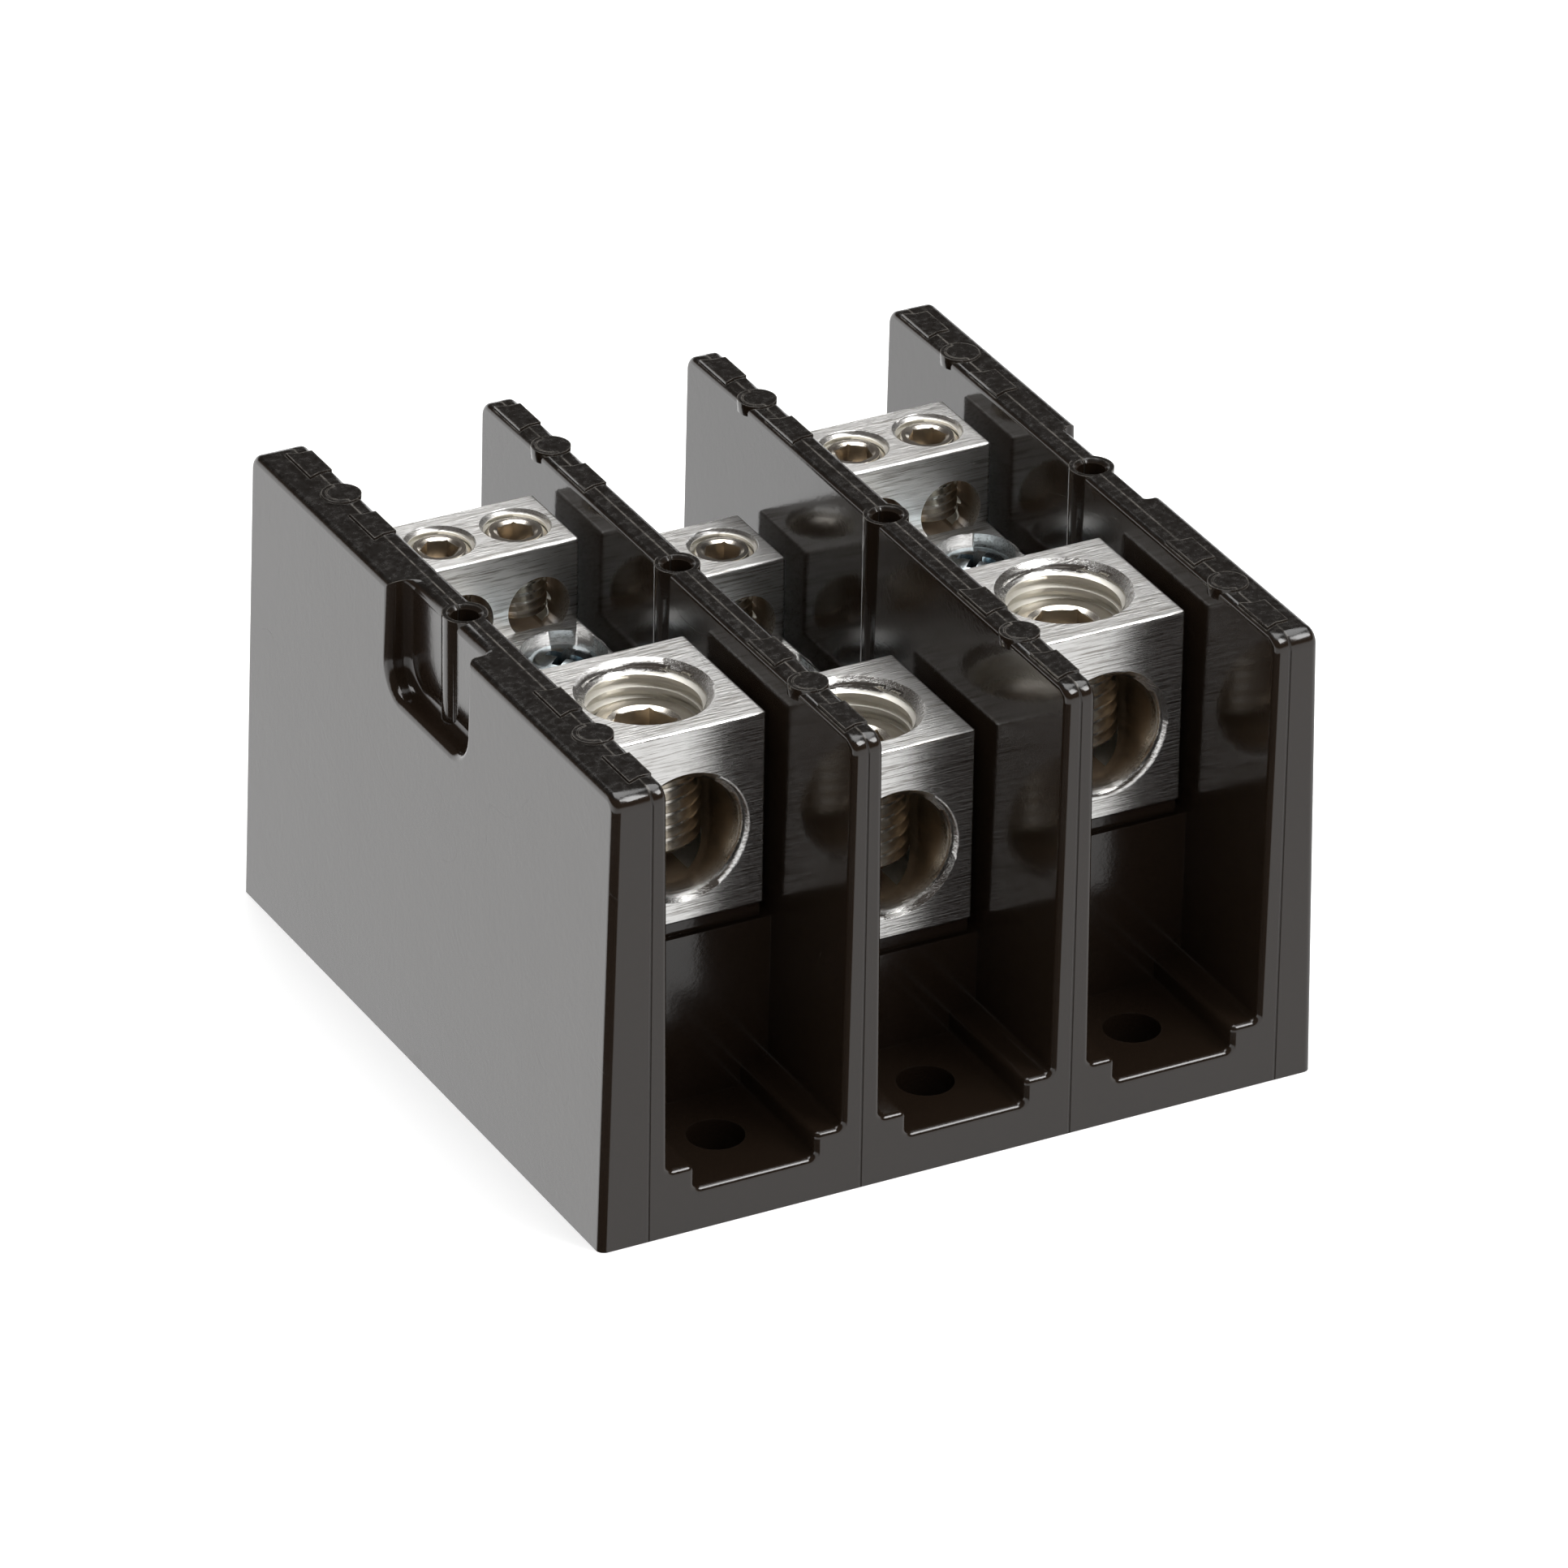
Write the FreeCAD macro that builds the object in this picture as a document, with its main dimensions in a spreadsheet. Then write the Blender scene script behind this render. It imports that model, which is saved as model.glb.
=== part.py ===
import FreeCAD, Part
import Sketcher
import math
import os
import re

# Three-pole power distribution block: three moulded pole bases keyed side by side between
# two end plates, and on each base an aluminium connector with one line port and two load
# ports. X runs across the poles, Y from the line side (minus) to the load side, Z is up.
# The origin is under the middle pole, in the plane of the underside. Sizes are in millimetres.

SIZES = {
    # housing
    "pitch": 21.2,
    "depth": 73.0,
    "height": 45.5,
    "floor_thickness": 4.2,
    "wall_top": 1.5,
    "wall_base": 2.0,
    "left_plate_top": 3.7,
    "left_plate_base": 4.8,
    "right_plate_top": 2.9,
    "right_plate_base": 3.9,
    "ledge_width": 2.7,
    "ledge_height": 2.4,
    "end_round": 1.5,
    "mouth_round": 0.6,
    "plate_round": 0.8,
    # pedestal that carries the connector
    "seat_height": 22.7,
    "middle_drop": 7.0,
    "seat_pad": 1.7,
    "seat_inset": 0.9,
    "pedestal_inset": 0.3,
    "core_width": 3.4,
    "core_rib": 2.3,
    "core_length": 9.0,
    "core_inset": 2.6,
    "core_roof": 3.2,
    # panel mounting holes and cover screw tubes
    "panel_hole": 5.35,
    "panel_inset": 7.65,
    "tube_outer": 4.2,
    "tube_bore": 2.6,
    "tube_bore_depth": 14.0,
    "tube_lead": 0.35,
    # keys along each seam
    "key_station": 25.1,
    "key_spacing": 6.6,
    "key_length": 5.2,
    "key_undercut": 0.5,
    "key_reach": 1.15,
    "key_pin": 2.7,
    "pin_boss": 3.7,
    "pin_boss_height": 0.9,
    "key_root": 1.25,
    "key_rise": 0.2,
    "key_clearance": 0.05,
    # notch at the top of each end plate
    "notch_width": 15.8,
    "notch_depth": 10.6,
    "notch_corner": 3.0,
    "left_notch_floor_round": 1.0,
    "right_notch_floor_round": 0.5,
    # connector
    "lug_width": 15.88,
    "lug_length": 46.0,
    "lug_height": 19.35,
    "lug_setback": 14.0,
    "line_block": 15.9,
    "load_block": 9.5,
    "valley_drop": 8.25,
    # line port and its screw
    "line_bore": 11.3,
    "line_bore_rise": 8.5,
    "line_bore_depth": 14.0,
    "line_bore_chamfer": 0.8,
    "line_screw": 10.3,
    "line_screw_length": 11.1,
    "line_screw_setback": 8.2,
    "line_screw_sink": 3.3,
    "line_screw_point": 0.8,
    "line_screw_edge": 0.4,
    "line_socket": 5.56,
    "line_socket_depth": 5.0,
    "line_hole_lead": 1.15,
    # load ports and their screws
    "load_bore": 6.22,
    "load_bore_rise": 13.1,
    "load_bore_chamfer": 0.4,
    "load_spacing": 7.7,
    "load_screw": 5.76,
    "load_screw_length": 7.94,
    "load_screw_sink": 0.5,
    "load_screw_point": 0.5,
    "load_screw_edge": 0.2,
    "load_socket": 3.18,
    "load_socket_depth": 3.4,
    "load_hole_lead": 0.4,
    "screw_clearance": 0.05,
    "hole_floor": 0.25,
    # screws that fix each connector to its pedestal
    "fixing_side": 3.85,
    "fixing_from_load": 5.05,
    "fixing_counterbore": 8.0,
    "fixing_counterbore_depth": 2.6,
    "fixing_head": 7.0,
    "fixing_head_height": 2.2,
    "fixing_head_edge": 1.1,
    "fixing_head_round": 0.9,
    "fixing_shank": 3.5,
    "fixing_length": 15.9,
    "fixing_point": 1.2,
    "fixing_lug_clearance": 0.25,
    "fixing_thread_clearance": 0.02,
    "recess_span": 4.2,
    "recess_arm": 0.9,
    "recess_depth": 1.4,
}

POLES = 3
MIDDLE_POLE = 2
HALF_DEPTH = SIZES["depth"] / 2
STATIONS = {"0": 0.0, "- key_station": -SIZES["key_station"], "key_station": SIZES["key_station"]}
TOLERANCE = 0.02

doc = FreeCAD.newDocument("TerminalBlock")
sheet = doc.addObject("Spreadsheet::Sheet", "Sizes")
for row, (alias, value) in enumerate(SIZES.items(), start=1):
    sheet.set(f"A{row}", alias)
    sheet.set(f"B{row}", str(value))
    sheet.setAlias(f"B{row}", alias)
doc.recompute()


def cells(expression):
    """Write an expression of size names as one that reads them from the sheet."""
    def named(match):
        word = match.group()
        return "Sizes." + word if word in SIZES else word
    return re.sub("[a-z_]+", named, expression)


def new_body(name):
    body = doc.addObject("PartDesign::Body", name)
    body.Label = name
    return body


def sketch_on(body, name, role, offset=None):
    """Start a sketch on one of the body's origin planes, moved along its normal by offset."""
    sketch = body.newObject("Sketcher::SketchObject", name)
    plane = [item for item in body.Origin.OriginFeatures if item.Role == role][0]
    sketch.AttachmentSupport = [(plane, "")]
    sketch.MapMode = "FlatFace"
    if offset:
        sketch.setExpression("AttachmentOffset.Base.z", cells(offset))
    return sketch


def bind(sketch, kind, geometry, point, expression, start=1.0):
    """Hold a point of the sketch at a distance from its origin that the sheet gives."""
    number = sketch.addConstraint(Sketcher.Constraint(kind, -1, 1, geometry, point, start))
    sketch.setExpression(f"Constraints[{number}]", cells(expression))


def outline(sketch, corners):
    """Draw a closed outline of straight lines through corners given as expressions."""
    first = sketch.GeometryCount
    count = len(corners)
    for index in range(count):
        turn = 2 * math.pi / count
        start = FreeCAD.Vector(math.cos(index * turn), math.sin(index * turn), 0)
        end = FreeCAD.Vector(math.cos((index + 1) * turn), math.sin((index + 1) * turn), 0)
        sketch.addGeometry(Part.LineSegment(start, end), False)
    for index in range(count):
        following = first + (index + 1) % count
        sketch.addConstraint(Sketcher.Constraint("Coincident", first + index, 2, following, 1))
    for index, (across, along) in enumerate(corners):
        bind(sketch, "DistanceX", first + index, 1, across)
        bind(sketch, "DistanceY", first + index, 1, along)
    return first


def rectangle(sketch, left, right, low, high):
    return outline(sketch, [(left, low), (right, low), (right, high), (left, high)])


def circle(sketch, across, along, diameter):
    number = sketch.GeometryCount
    sketch.addGeometry(Part.Circle(FreeCAD.Vector(0, 0, 0), FreeCAD.Vector(0, 0, 1), 1), False)
    bind(sketch, "DistanceX", number, 3, across)
    bind(sketch, "DistanceY", number, 3, along)
    size = sketch.addConstraint(Sketcher.Constraint("Diameter", number, 2.0))
    sketch.setExpression(f"Constraints[{size}]", cells(diameter))
    return number


def half_disc(sketch, across, diameter, side, place, station="0"):
    """Draw a half disc on the line X = across, bulging towards side (-1 left, 1 right)."""
    radius = SIZES[diameter] / 2
    centre = FreeCAD.Vector(place, STATIONS[station], 0)
    low = centre - FreeCAD.Vector(0, radius, 0)
    high = centre + FreeCAD.Vector(0, radius, 0)
    bulge = centre + FreeCAD.Vector(side * radius, 0, 0)
    line = sketch.GeometryCount
    arc = line + 1
    sketch.addGeometry(Part.LineSegment(low, high), False)
    sketch.addGeometry(Part.Arc(low, bulge, high), False)
    ends = (1, 2) if side > 0 else (2, 1)
    sketch.addConstraint(Sketcher.Constraint("Coincident", line, 1, arc, ends[0]))
    sketch.addConstraint(Sketcher.Constraint("Coincident", line, 2, arc, ends[1]))
    bind(sketch, "DistanceX", line, 1, across, place)
    bind(sketch, "DistanceX", line, 2, across, place)
    bind(sketch, "DistanceX", arc, 3, across, centre.x)
    bind(sketch, "DistanceY", line, 1, f"{station} - {diameter} / 2", low.y)
    bind(sketch, "DistanceY", line, 2, f"{station} + {diameter} / 2", high.y)


def pad(body, name, sketch, length, symmetric=False):
    feature = body.newObject("PartDesign::Pad", name)
    feature.Profile = sketch
    feature.setExpression("Length", cells(length))
    if symmetric:
        feature.SideType = "Symmetric"
    doc.recompute()
    return feature


def pocket(body, name, sketch, length=None, turned=False):
    """Cut the sketch into the body, against its normal unless turned, and test that it cut."""
    before = body.Shape.Volume
    feature = body.newObject("PartDesign::Pocket", name)
    feature.Profile = sketch
    feature.Reversed = turned
    if length:
        feature.setExpression("Length", cells(length))
    else:
        feature.Type = "ThroughAll"
    doc.recompute()
    if feature.Shape.Volume >= before:
        raise RuntimeError(f"{body.Label}: {name} removed nothing")
    return feature


def edge_names(feature, wanted):
    return [f"Edge{number}" for number, edge in enumerate(feature.Shape.Edges, start=1) if wanted(edge)]


def dress(body, kind, name, size, wanted):
    """Fillet or chamfer the edges of the body's tip that wanted picks."""
    tip = body.Tip
    names = edge_names(tip, wanted)
    if not names:
        raise RuntimeError(f"{body.Label}: {name} found no edge")
    feature = body.newObject(f"PartDesign::{kind}", name)
    feature.Base = (tip, names)
    feature.setExpression("Radius" if kind == "Fillet" else "Size", cells(size))
    doc.recompute()
    return feature


def near(value, target):
    return abs(value - target) < TOLERANCE


def ring_at(radius, axis, place):
    """Pick circular edges of a radius whose centre lies at a place along an axis."""
    def wanted(edge):
        if edge.Degenerated or not isinstance(edge.Curve, Part.Circle):
            return False
        curve = edge.Curve
        return near(curve.Radius, radius) and near(getattr(curve.Center, axis), place)
    return wanted


def ends(edge):
    return [vertex.Point for vertex in edge.Vertexes]


def place(body, across="0", along="0", up="0"):
    for axis, expression in zip("xyz", (across, along, up)):
        body.setExpression(f"Placement.Base.{axis}", cells(expression))


# Keys: every seam has, on each side of the middle, a pair of dovetail keys with a round pin
# between them. They stand on the left face of the piece at the right of the seam, and rise
# a little above it. Round the top of each pin both pieces swell into a low boss.

def key_outline(sketch, seam, along, slack):
    """Draw one dovetail key that reaches to the left of the seam line."""
    tip = f"({seam}) - key_reach - {slack}"
    root = f"({seam}) + key_root"
    neck = f"key_length / 2 - key_undercut + {slack}"
    head = f"key_length / 2 + {slack}"
    outline(sketch, [
        (root, f"({along}) - ({neck})"),
        (root, f"({along}) + ({neck})"),
        (f"({seam})", f"({along}) + ({neck})"),
        (tip, f"({along}) + ({head})"),
        (tip, f"({along}) - ({head})"),
        (f"({seam})", f"({along}) - ({neck})"),
    ])


def key_sketches(body, label, seam, slack):
    dovetails = sketch_on(body, f"{label}Dovetails", "XY_Plane")
    pins = sketch_on(body, f"{label}Pins", "XY_Plane")
    for station in ("- key_station", "key_station"):
        for step in ("-", "+"):
            key_outline(dovetails, seam, f"{station} {step} key_spacing", slack)
        circle(pins, seam, station, f"key_pin + 2 * {slack}")
    return dovetails, pins


def add_keys(body, seam):
    for sketch in key_sketches(body, "Key", seam, "0"):
        pad(body, sketch.Name + "Pad", sketch, "height + key_rise")


def add_pin_bosses(body, label, seam, side, seam_place):
    """Add the halves of the bosses that belong to the piece on one side of the seam."""
    for number, station in enumerate(("- key_station", "key_station"), start=1):
        boss = sketch_on(body, f"{label}Boss{number}", "XY_Plane", "height - pin_boss_height")
        half_disc(boss, seam, "pin_boss", side, seam_place, station)
        pad(body, f"{label}Boss{number}Pad", boss, "pin_boss_height + key_rise")


def cut_key_seats(body, seam):
    for sketch in key_sketches(body, "Seat", seam, "key_clearance"):
        pocket(body, sketch.Name + "Cut", sketch, None, turned=True)


def add_half_tube(body, label, seam, side, seam_place):
    """Add the half of a cover screw tube that belongs to this piece, with its bore."""
    ridge = sketch_on(body, f"{label}Ridge", "XY_Plane")
    half_disc(ridge, seam, "tube_outer", side, seam_place)
    pad(body, f"{label}RidgePad", ridge, "height")
    bore = sketch_on(body, f"{label}Bore", "XY_Plane", "height")
    circle(bore, seam, "0", "tube_bore")
    pocket(body, f"{label}BoreCut", bore, "tube_bore_depth")


def chamfer_tubes(body):
    lip = ring_at(SIZES["tube_bore"] / 2, "z", SIZES["height"])
    dress(body, "Chamfer", "TubeLead", "tube_lead", lip)


# Pole base: a moulded channel with a wall on each side that tapers towards its top, ledges
# along the foot of the walls and a pedestal for the connector.

def wall_end(edge):
    """Pick the short edges across the top of a wall, at its front and back ends."""
    points = ends(edge)
    top = all(near(point.z, SIZES["height"]) for point in points)
    across = near(points[0].y, points[-1].y)
    return top and across and near(abs(points[0].y), HALF_DEPTH)


def wall_inside(level):
    """Give the distance from the middle of a bay to its wall at a level, as an expression."""
    return f"pitch / 2 - wall_base + (wall_base - wall_top) * ({level}) / height"


def make_pole_base(number):
    drop = " - middle_drop" if number == MIDDLE_POLE else ""
    body = new_body(f"pole_base_{number}")

    section = sketch_on(body, "Section", "XZ_Plane")
    ledge = "floor_thickness + ledge_height"
    foot = wall_inside(ledge)
    channel = f"{foot} - ledge_width"
    outline(section, [
        ("- pitch / 2", "0"),
        ("pitch / 2", "0"),
        ("pitch / 2", "height"),
        ("pitch / 2 - wall_top", "height"),
        (foot, ledge),
        (channel, ledge),
        (channel, "floor_thickness"),
        (f"- ({channel})", "floor_thickness"),
        (f"- ({channel})", ledge),
        (f"- ({foot})", ledge),
        ("- (pitch / 2 - wall_top)", "height"),
        ("- pitch / 2", "height"),
    ])
    pad(body, "Channel", section, "depth", symmetric=True)

    def mouth(edge):
        points = ends(edge)
        at_end = all(near(abs(point.y), HALF_DEPTH) for point in points)
        beside = all(near(abs(point.x), SIZES["pitch"] / 2) for point in points)
        level = near(points[0].z, points[-1].z)
        low = near(points[0].z, 0) or points[0].z > SIZES["height"] / 2
        return at_end and not beside and not (level and low)

    dress(body, "Fillet", "WallEndRounds", "end_round", wall_end)
    dress(body, "Fillet", "MouthRounds", "mouth_round", mouth)

    pedestal = sketch_on(body, "Pedestal", "XY_Plane")
    side = "(pitch / 2 - wall_top)"
    front = "- depth / 2 + lug_setback"
    back = "- depth / 2 + lug_setback + lug_length"
    rectangle(pedestal, f"- {side}", side, f"{front} + pedestal_inset", f"{back} - pedestal_inset")
    pad(body, "PedestalPad", pedestal, f"seat_height - seat_pad{drop}")
    seat = sketch_on(body, "Seat", "XY_Plane")
    rectangle(seat, "- lug_width / 2", "lug_width / 2", f"{front} + seat_inset", f"{back} - seat_inset")
    pad(body, "SeatPad", seat, f"seat_height{drop}")

    holes = sketch_on(body, "PanelHoles", "XY_Plane", "floor_thickness")
    circle(holes, "0", "- depth / 2 + panel_inset", "panel_hole")
    circle(holes, "0", "depth / 2 - panel_inset", "panel_hole")
    pocket(body, "PanelHolesCut", holes, "floor_thickness")

    pilots = sketch_on(body, "FixingPilots", "XY_Plane", f"seat_height{drop}")
    for across, along in fixing_places():
        circle(pilots, across, along, "fixing_shank + 2 * fixing_thread_clearance")
    pilot_depth = "fixing_length - (lug_height - valley_drop - fixing_counterbore_depth)"
    pocket(body, "FixingPilotsCut", pilots, f"{pilot_depth} + fixing_point")

    cores = sketch_on(body, "Cores", "XY_Plane")
    near_front = f"{front} + core_inset"
    near_back = f"{back} - core_inset"
    for column in (-1, 0, 1):
        left = f"{column} * (core_width + core_rib) - core_width / 2"
        right = f"{left} + core_width"
        rectangle(cores, left, right, near_front, f"{near_front} + core_length")
        rectangle(cores, left, right, f"{near_back} - core_length", near_back)
    pocket(body, "CoresCut", cores, f"seat_height - seat_pad - core_roof{drop}", turned=True)

    half = SIZES["pitch"] / 2
    add_half_tube(body, "Left", "- pitch / 2", 1, -half)
    add_half_tube(body, "Right", "pitch / 2", -1, half)
    chamfer_tubes(body)
    add_keys(body, "- pitch / 2")
    add_pin_bosses(body, "Left", "- pitch / 2", 1, -half)
    add_pin_bosses(body, "Right", "pitch / 2", -1, half)
    cut_key_seats(body, "pitch / 2")
    place(body, f"pitch * {number - MIDDLE_POLE}")
    return body


# End plate: closes the outer pole, thicker than the wall it backs, with a notch at the top
# that leaves the cover screw tube standing free.

def make_end_plate(name, side):
    """Build the plate at the left (side -1) or the right (side 1) of the block."""
    sign, word = ("-", "left") if side < 0 else ("", "right")
    body = new_body(name)
    section = sketch_on(body, "Section", "XZ_Plane")
    outline(section, [
        ("0", "0"),
        (f"{sign} {word}_plate_base", "0"),
        (f"{sign} {word}_plate_top", "height"),
        ("0", "height"),
    ])
    pad(body, "Plate", section, "depth", symmetric=True)

    notch = sketch_on(body, "Notch", "YZ_Plane", f"{sign} wall_top")
    rectangle(notch, "- notch_width / 2", "notch_width / 2", "height - notch_depth", "height + notch_corner")
    pocket(body, "NotchCut", notch, None, turned=side > 0)

    def notch_bottom(edge):
        points = ends(edge)
        low = all(near(point.z, SIZES["height"] - SIZES["notch_depth"]) for point in points)
        across = near(points[0].y, points[-1].y) and not near(points[0].x, points[-1].x)
        return low and across

    def notch_floor_side(edge):
        points = ends(edge)
        on_floor = all(near(abs(point.x), SIZES["wall_top"]) for point in points)
        at_side = all(near(abs(point.y), SIZES["notch_width"] / 2) for point in points)
        return on_floor and at_side

    def outer(edge):
        points = ends(edge)
        beyond = all(abs(point.x) > SIZES[f"{word}_plate_top"] - TOLERANCE for point in points)
        underneath = all(near(point.z, 0) for point in points)
        return beyond and not underneath

    dress(body, "Fillet", "NotchCorners", "notch_corner", notch_bottom)
    dress(body, "Fillet", "NotchFloorRounds", f"{word}_notch_floor_round", notch_floor_side)
    dress(body, "Fillet", "WallEndRounds", "end_round", wall_end)
    dress(body, "Fillet", "OuterRounds", "plate_round", outer)
    add_half_tube(body, "Seam", "0", side, 0.0)
    chamfer_tubes(body)
    add_pin_bosses(body, "Seam", "0", side, 0.0)
    if side < 0:
        cut_key_seats(body, "0")
    else:
        add_keys(body, "0")
    place(body, f"{sign} pitch * {POLES / 2}")
    return body


# Connector: a length of aluminium bar milled to a line block, a valley and a load block. Its
# own frame has the origin in the middle of the housing's depth, on the underside.

LUG_FRONT = "(- depth / 2 + lug_setback)"
LUG_BACK = "(- depth / 2 + lug_setback + lug_length)"
LINE_AXIS = f"({LUG_FRONT} + line_screw_setback)"
LOAD_AXIS = f"({LUG_BACK} - load_block / 2)"
VALLEY_FRONT = f"({LUG_FRONT} + line_block)"
VALLEY_BACK = f"({LUG_BACK} - load_block)"


def fixing_places():
    """Give the two fixing screws, at opposite corners of the connector's valley."""
    return [
        ("fixing_side", f"{VALLEY_BACK} - fixing_from_load"),
        ("- fixing_side", f"{VALLEY_FRONT} + fixing_from_load"),
    ]


def make_connector(number):
    body = new_body(f"connector_{number}")
    section = sketch_on(body, "Section", "YZ_Plane")
    outline(section, [
        (LUG_FRONT, "0"),
        (LUG_BACK, "0"),
        (LUG_BACK, "lug_height"),
        (VALLEY_BACK, "lug_height"),
        (VALLEY_BACK, "lug_height - valley_drop"),
        (VALLEY_FRONT, "lug_height - valley_drop"),
        (VALLEY_FRONT, "lug_height"),
        (LUG_FRONT, "lug_height"),
    ])
    pad(body, "Bar", section, "lug_width", symmetric=True)

    line_bore = sketch_on(body, "LineBore", "XZ_Plane", f"- {LUG_FRONT}")
    circle(line_bore, "0", "line_bore_rise", "line_bore")
    pocket(body, "LineBoreCut", line_bore, "line_bore_depth")
    front_place = SIZES["lug_setback"] - HALF_DEPTH
    dress(body, "Chamfer", "LineBoreLead", "line_bore_chamfer",
          ring_at(SIZES["line_bore"] / 2, "y", front_place))

    line_hole = sketch_on(body, "LineScrewHole", "XY_Plane", "lug_height")
    circle(line_hole, "0", LINE_AXIS, "line_screw + 2 * screw_clearance")
    line_floor = "line_bore_rise - line_bore / 2 + hole_floor"
    pocket(body, "LineScrewHoleCut", line_hole, f"lug_height - ({line_floor})")
    dress(body, "Chamfer", "LineHoleLead", "line_hole_lead",
          ring_at(SIZES["line_screw"] / 2 + SIZES["screw_clearance"], "z", SIZES["lug_height"]))

    load_bores = sketch_on(body, "LoadBores", "XZ_Plane", f"- {VALLEY_BACK}")
    for side in ("-", ""):
        circle(load_bores, f"{side} load_spacing / 2", "load_bore_rise", "load_bore")
    pocket(body, "LoadBoresCut", load_bores, "load_block")
    back_place = front_place + SIZES["lug_length"]
    dress(body, "Chamfer", "LoadBoreLead", "load_bore_chamfer",
          ring_at(SIZES["load_bore"] / 2, "y", back_place))

    load_holes = sketch_on(body, "LoadScrewHoles", "XY_Plane", "lug_height")
    for side in ("-", ""):
        circle(load_holes, f"{side} load_spacing / 2", LOAD_AXIS, "load_screw + 2 * screw_clearance")
    load_floor = "load_bore_rise - load_bore / 2 + hole_floor"
    pocket(body, "LoadScrewHolesCut", load_holes, f"lug_height - ({load_floor})")
    dress(body, "Chamfer", "LoadHoleLead", "load_hole_lead",
          ring_at(SIZES["load_screw"] / 2 + SIZES["screw_clearance"], "z", SIZES["lug_height"]))

    seats = sketch_on(body, "FixingSeats", "XY_Plane", "lug_height - valley_drop")
    shanks = sketch_on(body, "FixingHoles", "XY_Plane", "lug_height - valley_drop")
    for across, along in fixing_places():
        circle(seats, across, along, "fixing_counterbore")
        circle(shanks, across, along, "fixing_shank + 2 * fixing_lug_clearance")
    pocket(body, "FixingSeatsCut", seats, "fixing_counterbore_depth")
    pocket(body, "FixingHolesCut", shanks)
    place(body, f"pitch * {number - MIDDLE_POLE}", "0", seat_level(number))
    return body


def seat_level(number):
    return "seat_height - middle_drop" if number == MIDDLE_POLE else "seat_height"


# Set screws: plain cylinders at the pitch diameter of their thread, with a hexagon socket and
# a cup point. Their own frame has the origin in the middle of the top face.

def make_set_screw(name, kind, across, along, up):
    body = new_body(name)
    disc = sketch_on(body, "Disc", "XY_Plane", f"- {kind}_screw_length")
    circle(disc, "0", "0", f"{kind}_screw")
    pad(body, "Shank", disc, f"{kind}_screw_length")
    radius = SIZES[f"{kind}_screw"] / 2
    dress(body, "Chamfer", "Edge", f"{kind}_screw_edge", ring_at(radius, "z", 0))
    tip = ring_at(radius, "z", -SIZES[f"{kind}_screw_length"])
    dress(body, "Chamfer", "Point", f"{kind}_screw_point", tip)
    socket = sketch_on(body, "Socket", "XY_Plane")
    reach = f"{kind}_socket / sqrt(3)"
    turns = [60 * corner for corner in range(6)]
    outline(socket, [(f"{reach} * cos({turn})", f"{reach} * sin({turn})") for turn in turns])
    pocket(body, "SocketCut", socket, f"{kind}_socket_depth")
    place(body, across, along, up)
    return body


# Fixing screw: a thread-forming pan head screw with a cross recess. Its own frame has the
# origin on the axis, under the head.

def make_fixing_screw(name, across, along, up):
    body = new_body(name)
    profile = sketch_on(body, "Profile", "XZ_Plane")
    corners = [
        ("0", "- fixing_length"),
        ("fixing_shank / 2", "- fixing_length + fixing_point"),
        ("fixing_shank / 2", "0"),
        ("fixing_head / 2", "0"),
        ("fixing_head / 2", "fixing_head_edge"),
        ("fixing_head / 2 - (fixing_head_height - fixing_head_edge)", "fixing_head_height"),
        ("0", "fixing_head_height"),
    ]
    outline(profile, corners)
    turning = body.newObject("PartDesign::Revolution", "Turning")
    turning.Profile = profile
    turning.ReferenceAxis = (profile, ["V_Axis"])
    turning.Angle = 360
    doc.recompute()
    shoulder = ring_at(SIZES["fixing_head"] / 2, "z", SIZES["fixing_head_edge"])
    dress(body, "Fillet", "HeadRound", "fixing_head_round", shoulder)
    recess = sketch_on(body, "Recess", "XY_Plane", "fixing_head_height")
    arm = "recess_arm / 2"
    span = "recess_span / 2"
    outline(recess, [
        (arm, span), (f"- {arm}", span), (f"- {arm}", arm), (f"- {span}", arm),
        (f"- {span}", f"- {arm}"), (f"- {arm}", f"- {arm}"), (f"- {arm}", f"- {span}"), (arm, f"- {span}"),
        (arm, f"- {arm}"), (span, f"- {arm}"), (span, arm), (arm, arm),
    ])
    pocket(body, "RecessCut", recess, "recess_depth")
    place(body, across, along, up)
    return body


pieces = []
for number in range(1, POLES + 1):
    pole = f"pitch * {number - MIDDLE_POLE}"
    top = f"{seat_level(number)} + lug_height"
    pieces.append(make_pole_base(number))
    pieces.append(make_connector(number))
    line_top = f"{top} - line_screw_sink"
    pieces.append(make_set_screw(f"line_screw_{number}", "line", pole, LINE_AXIS, line_top))
    for side, word in (("-", "left"), ("+", "right")):
        across = f"{pole} {side} load_spacing / 2"
        load_top = f"{top} - load_screw_sink"
        pieces.append(make_set_screw(f"load_screw_{number}_{word}", "load", across, LOAD_AXIS, load_top))
    under_head = f"{top} - valley_drop - fixing_counterbore_depth"
    for (across, along), word in zip(fixing_places(), ("back", "front")):
        across = f"{pole} + ({across})"
        pieces.append(make_fixing_screw(f"fixing_screw_{number}_{word}", across, along, under_head))
pieces.append(make_end_plate("end_plate_left", -1))
pieces.append(make_end_plate("end_plate_right", 1))
doc.recompute()

for item in doc.Objects:
    if {"Invalid", "Error"} & set(item.State):
        raise RuntimeError(f"{item.Label} failed: {item.State}")
for piece in pieces:
    if piece.Shape.isNull() or not piece.Shape.isValid() or len(piece.Shape.Solids) != 1:
        raise RuntimeError(f"{piece.Label} is not one valid solid")

os.makedirs("parts", exist_ok=True)
for piece in pieces:
    piece.Shape.exportStep(f"parts/{piece.Label}.step")
print(f"{len(pieces)} pieces written")
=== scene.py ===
import math

import bmesh
import bpy
from mathutils import Matrix, Vector


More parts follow.
